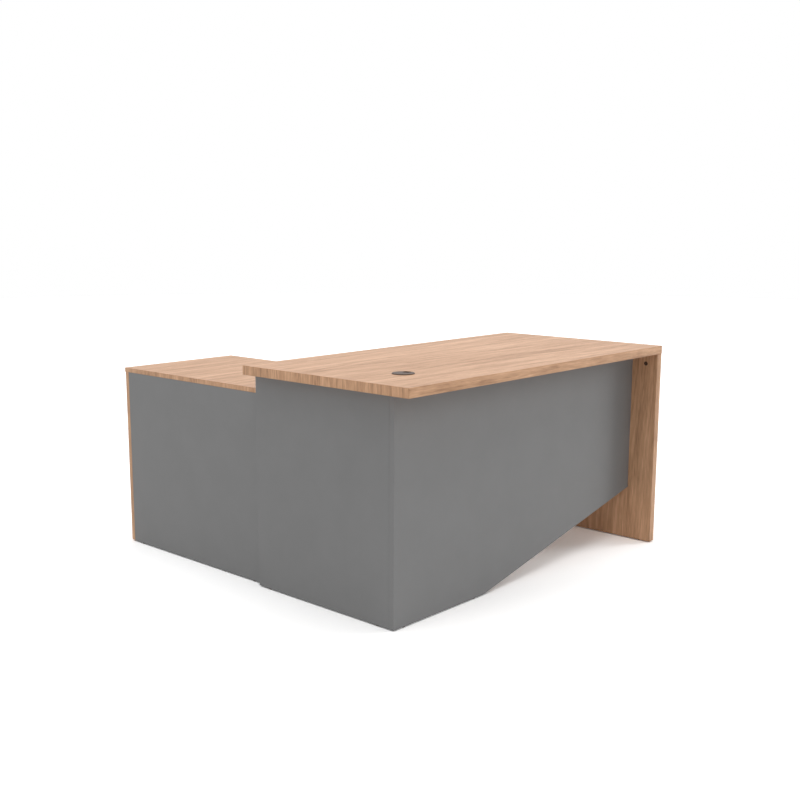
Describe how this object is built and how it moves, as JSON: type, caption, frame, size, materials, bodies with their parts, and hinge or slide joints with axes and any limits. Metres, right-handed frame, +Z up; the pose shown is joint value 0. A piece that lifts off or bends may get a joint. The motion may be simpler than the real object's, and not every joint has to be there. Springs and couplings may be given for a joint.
{
  "type": "l-shaped desk",
  "caption": "L-shaped office desk: worktop on a wooden gable and grey panels with a sloping modesty edge, over a lower storage return with drawers, niche and cupboard.",
  "frame": {"origin": "on the floor, under the middle of the desk's bounding box", "axes": "+Z up; X along the main worktop; +Y from the visitor's side, where the modesty panel is, towards the far end of the return, which lies at -X; the drawers open towards +X"},
  "size_m": [1.4, 1.45, 0.7425],
  "materials": {
    "walnut_board": "light walnut melamine with a fine straight grain, satin, with matching edging",
    "grey_board": "plain mid-grey melamine, matt and very finely textured",
    "dark_plastic": "dark grey moulded plastic, matt",
    "zinc_fittings": "dark bronzed zinc die casting",
    "plated_steel": "zinc-plated steel, slightly brushed",
    "satin_handles": "satin anodised aluminium rod",
    "drawer_board": "pale plain drawer board, matt",
    "beech_dowels": "plain fluted beech"
  },
  "bodies": {
    "desk": {"desk_top": "walnut_board", "right_gable": "walnut_board", "modesty_panel": "grey_board", "side_panel": "grey_board", "outlet_sleeve": "dark_plastic", "floor_glides": "dark_plastic", "cam_locks": "zinc_fittings", "cam_bolts": "plated_steel", "wood_dowels": "beech_dowels", "link_screws": "zinc_fittings", "return_top": "walnut_board", "return_back": "grey_board", "return_end_panel": "walnut_board", "return_near_panel": "walnut_board", "near_divider": "walnut_board", "far_divider": "walnut_board", "return_bottom": "walnut_board", "plinth_rail": "grey_board", "niche_shelf": "walnut_board", "cupboard_shelf": "walnut_board", "shelf_pins": "zinc_fittings", "frame_hinge_leaves": "plated_steel", "hinge_pins": "plated_steel", "catch_housing": "dark_plastic", "catch_magnet": "plated_steel", "upper_cabinet_rails": "plated_steel", "middle_cabinet_rails": "plated_steel", "lower_cabinet_rails": "plated_steel"},
    "outlet_cap": {"outlet_cap": "dark_plastic"},
    "cupboard_door": {"cupboard_door": "walnut_board", "door_handle": "satin_handles", "door_hinge_leaves": "plated_steel", "catch_plate": "plated_steel"},
    "upper_drawer": {"upper_drawer_front": "walnut_board", "upper_drawer_near_side": "drawer_board", "upper_drawer_far_side": "drawer_board", "upper_drawer_back": "drawer_board", "upper_drawer_base": "drawer_board", "upper_drawer_handle": "satin_handles", "upper_drawer_rails": "plated_steel", "lock_housing": "zinc_fittings"},
    "upper_intermediate_rails": {"upper_intermediate_rails": "plated_steel"},
    "middle_drawer": {"middle_drawer_front": "walnut_board", "middle_drawer_near_side": "drawer_board", "middle_drawer_far_side": "drawer_board", "middle_drawer_back": "drawer_board", "middle_drawer_base": "drawer_board", "middle_drawer_handle": "satin_handles", "middle_drawer_rails": "plated_steel"},
    "middle_intermediate_rails": {"middle_intermediate_rails": "plated_steel"},
    "lower_drawer": {"lower_drawer_front": "walnut_board", "lower_drawer_near_side": "drawer_board", "lower_drawer_far_side": "drawer_board", "lower_drawer_back": "drawer_board", "lower_drawer_base": "drawer_board", "lower_drawer_handle": "satin_handles", "lower_drawer_rails": "plated_steel"},
    "lower_intermediate_rails": {"lower_intermediate_rails": "plated_steel"},
    "lock_barrel": {"lock_barrel": "zinc_fittings"}
  },
  "joints": [
    {"name": "upper_drawer_slide", "type": "slide", "parent": "desk", "child": "upper_drawer", "axis": [1, 0, 0], "range_m": [0, 0.4]},
    {"name": "upper_rail_slide", "type": "slide", "parent": "desk", "child": "upper_intermediate_rails", "axis": [1, 0, 0], "range_m": [0, 0.2]},
    {"name": "middle_drawer_slide", "type": "slide", "parent": "desk", "child": "middle_drawer", "axis": [1, 0, 0], "range_m": [0, 0.4]},
    {"name": "middle_rail_slide", "type": "slide", "parent": "desk", "child": "middle_intermediate_rails", "axis": [1, 0, 0], "range_m": [0, 0.2]},
    {"name": "lower_drawer_slide", "type": "slide", "parent": "desk", "child": "lower_drawer", "axis": [1, 0, 0], "range_m": [0, 0.4]},
    {"name": "lower_rail_slide", "type": "slide", "parent": "desk", "child": "lower_intermediate_rails", "axis": [1, 0, 0], "range_m": [0, 0.2]},
    {"name": "door_hinge", "type": "hinge", "parent": "desk", "child": "cupboard_door", "pos_m": [-0.1488, 0.718, 0.35], "axis": [0, 0, 1], "range_deg": [0, 110]},
    {"name": "outlet_cap_lift", "type": "slide", "parent": "desk", "child": "outlet_cap", "axis": [0, 0, 1], "range_m": [0, 0.03]},
    {"name": "lock_turn", "type": "hinge", "parent": "upper_drawer", "child": "lock_barrel", "pos_m": [-0.1505, -0.379, 0.615], "axis": [1, 0, 0], "range_deg": [0, 90]}
  ],
  "couplings": [
    {"joint": "upper_rail_slide", "follows": "upper_drawer_slide", "ratio": 0.5},
    {"joint": "middle_rail_slide", "follows": "middle_drawer_slide", "ratio": 0.5},
    {"joint": "lower_rail_slide", "follows": "lower_drawer_slide", "ratio": 0.5}
  ]
}
